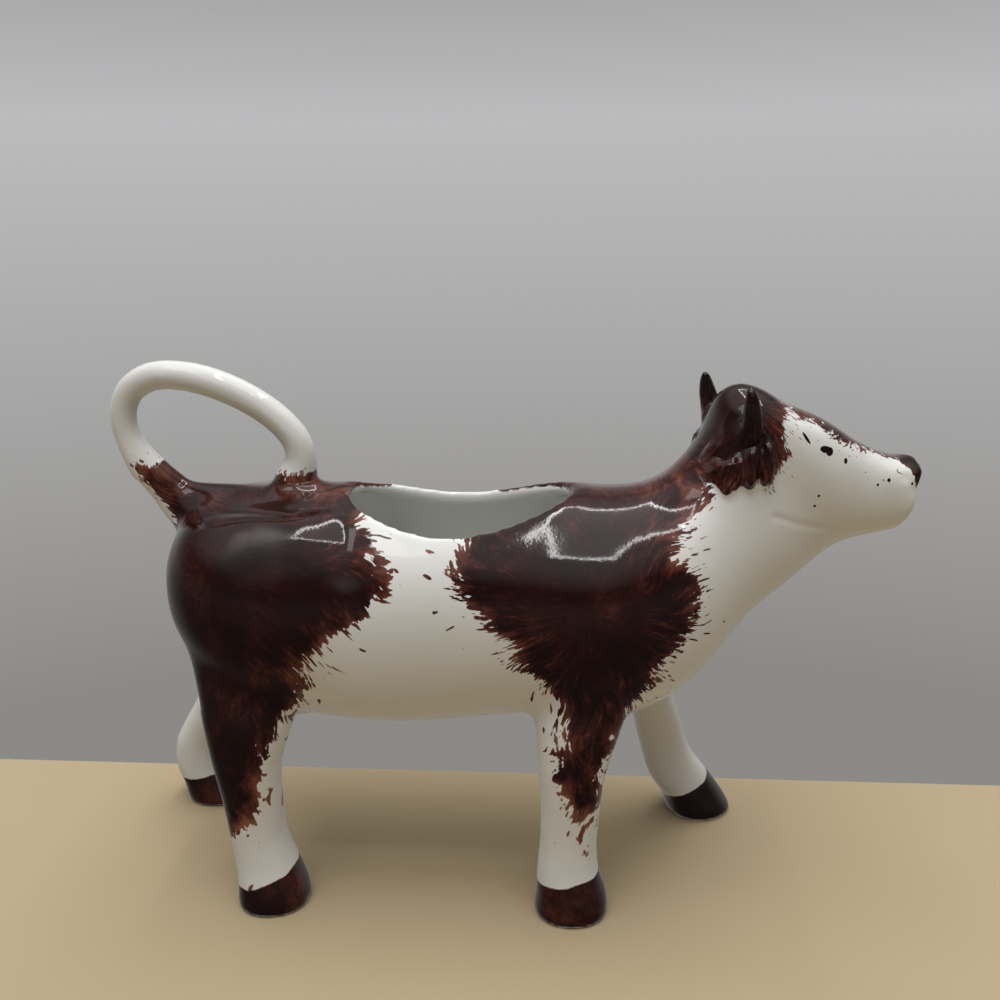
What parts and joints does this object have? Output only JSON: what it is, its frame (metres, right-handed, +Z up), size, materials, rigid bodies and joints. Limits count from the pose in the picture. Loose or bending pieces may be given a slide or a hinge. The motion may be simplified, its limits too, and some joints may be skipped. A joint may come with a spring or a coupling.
{
  "type": "cream jug",
  "caption": "Porcelain jug in the shape of a walking cow: filled through an oval opening in the back, poured from the mouth, held by the tail that loops over the rump.",
  "frame": {"origin": "on the table, under the middle of the jug's overall length and width", "axes": "+X towards the nose, +Y to the cow's left, +Z up from the table"},
  "size_m": [0.1803, 0.0582, 0.1199],
  "materials": {
    "body_glaze": "white clear-glazed porcelain with large dark brown brushed patches",
    "head_glaze": "white clear-glazed porcelain with a brown poll and face stripe",
    "leg_glaze": "white clear-glazed porcelain with brown hooves",
    "tail_glaze": "white clear-glazed porcelain, brown at its roots",
    "brown_glaze": "dark brown under clear glaze"
  },
  "bodies": {
    "root": {"body_shell": "body_glaze", "head": "head_glaze", "fore_leg_right": "leg_glaze", "fore_leg_left": "leg_glaze", "hind_leg_right": "leg_glaze", "hind_leg_left": "leg_glaze", "tail_handle": "tail_glaze", "horn_right": "brown_glaze", "horn_left": "brown_glaze", "ear_right": "brown_glaze", "ear_left": "brown_glaze"}
  },
  "joints": []
}
